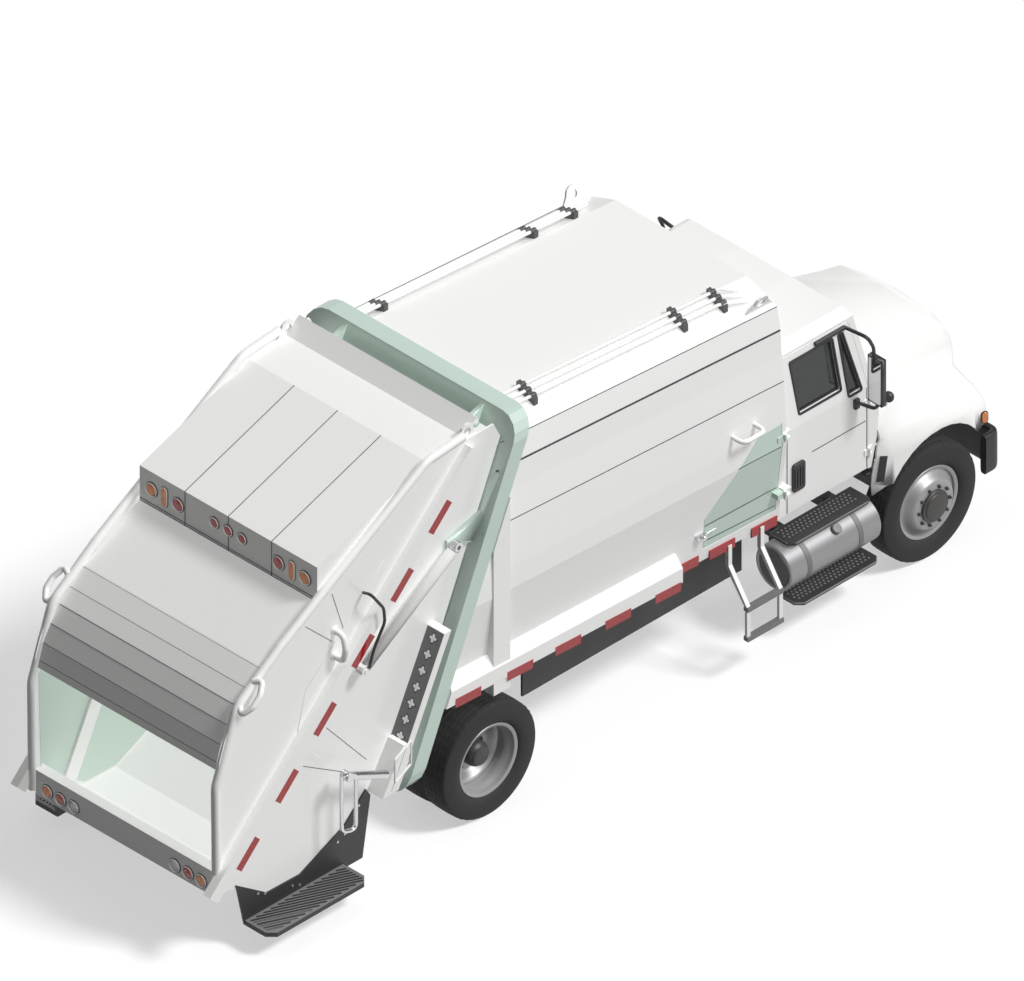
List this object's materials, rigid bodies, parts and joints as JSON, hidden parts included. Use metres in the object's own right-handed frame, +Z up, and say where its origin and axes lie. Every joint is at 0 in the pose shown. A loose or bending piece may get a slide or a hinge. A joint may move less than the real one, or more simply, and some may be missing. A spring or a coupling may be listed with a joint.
{
  "type": "rear-loading garbage truck",
  "caption": "Rear-loading rubbish truck: bonneted two-axle cab and chassis, ribless load body, curved hopper tailgate on top hinges with lift cylinders.",
  "frame": {"origin": "middle of the truck's box, on the ground under the tyres", "axes": "+X forward, +Y to the truck's left, +Z up"},
  "size_m": [8.945, 2.74, 3.814],
  "materials": {
    "chassis_black": "satin black paint",
    "engine_grey": "cast and painted metal",
    "aluminium": "brushed aluminium",
    "white_paint": "gloss white paint",
    "green_paint": "pale grey-green paint",
    "dark_grey": "dark grey paint",
    "black_plastic": "black moulded plastic",
    "seat_cloth": "dark grey woven cloth",
    "glass": "tinted glass",
    "lamp_red": "red and amber lenses",
    "lamp_clear": "clear lens",
    "tyre": "black rubber",
    "rim_steel": "silver painted steel",
    "cylinder_steel": "white barrel and bright rod"
  },
  "bodies": {
    "chassis": {"frame": "chassis_black", "side_skirts": "chassis_black", "front_bumper": "chassis_black", "engine": "engine_grey", "radiator": "engine_grey", "front_axle": "chassis_black", "rear_axle": "chassis_black", "drive_shaft": "chassis_black", "exhaust": "chassis_black", "fuel_tank": "aluminium", "tank_steps": "aluminium", "battery_box": "aluminium", "cab_shell": "white_paint", "cab_glass": "glass", "dashboard": "black_plastic", "seats": "seat_cloth", "body_floor": "white_paint", "body_side_right": "white_paint", "body_side_left": "white_paint", "body_roof": "white_paint", "body_front": "white_paint", "body_ring": "green_paint", "roof_pipes": "dark_grey", "ladder": "white_paint"},
    "hood_body": {"hood": "white_paint", "grille": "dark_grey", "head_lamps": "lamp_clear"},
    "tailgate": {"tail_sides": "white_paint", "hopper_floor": "white_paint", "tail_cover": "white_paint", "tail_roof": "white_paint", "tail_bumper": "dark_grey", "tail_lamps": "lamp_red", "rear_steps": "dark_grey"},
    "access_lid": {"access_door": "green_paint"},
    "cab_door_right": {"door_right": "white_paint", "door_glass_right": "glass", "mirror_right": "black_plastic"},
    "steering_right": {"knuckle_right": "chassis_black"},
    "wheel_front_right": {"tyre_front_right": "tyre", "rim_front_right": "rim_steel"},
    "wheel_rear_right": {"tyre_rear_right": "tyre", "rim_rear_right": "rim_steel"},
    "barrel_right": {"lift_barrel_right": "cylinder_steel"},
    "rod_right": {"lift_rod_right": "cylinder_steel"},
    "cab_door_left": {"door_left": "white_paint", "door_glass_left": "glass", "mirror_left": "black_plastic"},
    "steering_left": {"knuckle_left": "chassis_black"},
    "wheel_front_left": {"tyre_front_left": "tyre", "rim_front_left": "rim_steel"},
    "wheel_rear_left": {"tyre_rear_left": "tyre", "rim_rear_left": "rim_steel"},
    "barrel_left": {"lift_barrel_left": "cylinder_steel"},
    "rod_left": {"lift_rod_left": "cylinder_steel"}
  },
  "joints": [
    {"name": "steer_right", "type": "hinge", "parent": "chassis", "child": "steering_right", "pos_m": [3.6725, -0.83, 0.51], "axis": [0, 0, 1], "range_deg": [-35, 35]},
    {"name": "spin_front_right", "type": "hinge", "parent": "steering_right", "child": "wheel_front_right", "pos_m": [3.6725, -1.007, 0.531], "axis": [0, 1, 0], "continuous": true},
    {"name": "spin_rear_right", "type": "hinge", "parent": "chassis", "child": "wheel_rear_right", "pos_m": [-1.3425, -1.042, 0.531], "axis": [0, 1, 0], "continuous": true},
    {"name": "open_door_right", "type": "hinge", "parent": "chassis", "child": "cab_door_right", "pos_m": [3.1005, -1.016, 1.5], "axis": [0, 0, 1], "range_deg": [0, 65]},
    {"name": "barrel_swing_right", "type": "hinge", "parent": "tailgate", "child": "barrel_right", "pos_m": [-2.7505, -1.14, 2.117], "axis": [0, 1, 0], "range_deg": [-0.1, 60]},
    {"name": "rod_stroke_right", "type": "slide", "parent": "barrel_right", "child": "rod_right", "axis": [0.8388, 0, 0.5445], "range_m": [0, 1.05]},
    {"name": "steer_left", "type": "hinge", "parent": "chassis", "child": "steering_left", "pos_m": [3.6725, 0.83, 0.51], "axis": [0, 0, 1], "range_deg": [-35, 35]},
    {"name": "spin_front_left", "type": "hinge", "parent": "steering_left", "child": "wheel_front_left", "pos_m": [3.6725, 1.007, 0.531], "axis": [0, 1, 0], "continuous": true},
    {"name": "spin_rear_left", "type": "hinge", "parent": "chassis", "child": "wheel_rear_left", "pos_m": [-1.3425, 1.042, 0.531], "axis": [0, 1, 0], "continuous": true},
    {"name": "open_door_left", "type": "hinge", "parent": "chassis", "child": "cab_door_left", "pos_m": [3.1005, 1.016, 1.5], "axis": [0, 0, -1], "range_deg": [0, 65]},
    {"name": "barrel_swing_left", "type": "hinge", "parent": "tailgate", "child": "barrel_left", "pos_m": [-2.7505, 1.14, 2.117], "axis": [0, 1, 0], "range_deg": [-0.1, 60]},
    {"name": "rod_stroke_left", "type": "slide", "parent": "barrel_left", "child": "rod_left", "axis": [0.8388, 0, 0.5445], "range_m": [0, 1.05]},
    {"name": "tilt_hood", "type": "hinge", "parent": "chassis", "child": "hood_body", "pos_m": [4.4345, 0, 0.905], "axis": [0, 1, 0], "range_deg": [0, 60]},
    {"name": "lift_tailgate", "type": "hinge", "parent": "chassis", "child": "tailgate", "pos_m": [-1.1875, 0, 3.6], "axis": [0, 1, 0], "range_deg": [0, 70]},
    {"name": "open_access_door", "type": "hinge", "parent": "chassis", "child": "access_lid", "pos_m": [1.9605, -1.206, 1.75], "axis": [0, 0, 1], "range_deg": [0, 100]}
  ],
  "couplings": [
    {"joint": "steer_left", "follows": "steer_right", "ratio": 1},
    {"joint": "barrel_swing_right", "follows": "lift_tailgate", "ratio": 0.20257},
    {"joint": "barrel_swing_left", "follows": "lift_tailgate", "ratio": 0.20257},
    {"joint": "rod_stroke_right", "follows": "lift_tailgate", "m_per_rad": 0.82383},
    {"joint": "rod_stroke_left", "follows": "lift_tailgate", "m_per_rad": 0.82383}
  ]
}
